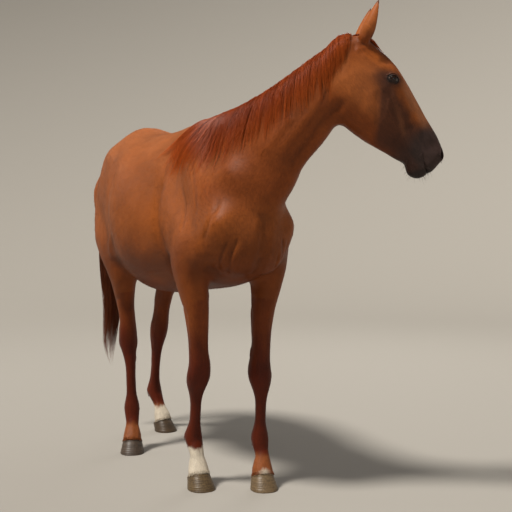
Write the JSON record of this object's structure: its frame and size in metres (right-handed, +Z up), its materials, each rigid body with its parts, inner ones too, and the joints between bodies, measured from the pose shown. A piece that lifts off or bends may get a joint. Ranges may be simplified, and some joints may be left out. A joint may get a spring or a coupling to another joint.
{
  "type": "horse",
  "caption": "Life-size still model of a chestnut riding horse standing at rest, head turned to its left, mane down the right of its neck.",
  "frame": {"origin": "on the floor, under the middle of the whole horse's box", "axes": "+X to the horse's left, +Y towards its tail, +Z up"},
  "size_m": [0.8866, 2.0894, 1.9553],
  "materials": {
    "trunk": "short, sleek summer coat over skin",
    "neck": "short, sleek summer coat over skin",
    "head": "short, sleek summer coat over skin",
    "ear_left": "short, sleek summer coat over skin",
    "ear_right": "short, sleek summer coat over skin",
    "eye_left": "wet, glossy eyeball",
    "eye_right": "wet, glossy eyeball",
    "forearm_left": "short, sleek summer coat over skin",
    "forearm_right": "short, sleek summer coat over skin",
    "fore_cannon_left": "short, sleek summer coat over skin",
    "fore_cannon_right": "short, sleek summer coat over skin",
    "gaskin_left": "short, sleek summer coat over skin",
    "gaskin_right": "short, sleek summer coat over skin",
    "hind_cannon_left": "short, sleek summer coat over skin",
    "hind_cannon_right": "short, sleek summer coat over skin",
    "fore_hoof_left": "dull horn with fine growth rings",
    "fore_hoof_right": "dull horn with fine growth rings",
    "hind_hoof_left": "dull horn with fine growth rings",
    "hind_hoof_right": "dull horn with fine growth rings",
    "mane": "long straight hair",
    "forelock": "long straight hair",
    "tail": "long straight hair"
  },
  "bodies": {
    "root": {"trunk": "trunk", "neck": "neck", "head": "head", "ear_left": "ear_left", "ear_right": "ear_right", "eye_left": "eye_left", "eye_right": "eye_right", "forearm_left": "forearm_left", "forearm_right": "forearm_right", "fore_cannon_left": "fore_cannon_left", "fore_cannon_right": "fore_cannon_right", "gaskin_left": "gaskin_left", "gaskin_right": "gaskin_right", "hind_cannon_left": "hind_cannon_left", "hind_cannon_right": "hind_cannon_right", "fore_hoof_left": "fore_hoof_left", "fore_hoof_right": "fore_hoof_right", "hind_hoof_left": "hind_hoof_left", "hind_hoof_right": "hind_hoof_right", "mane": "mane", "forelock": "forelock", "tail": "tail"}
  },
  "joints": []
}
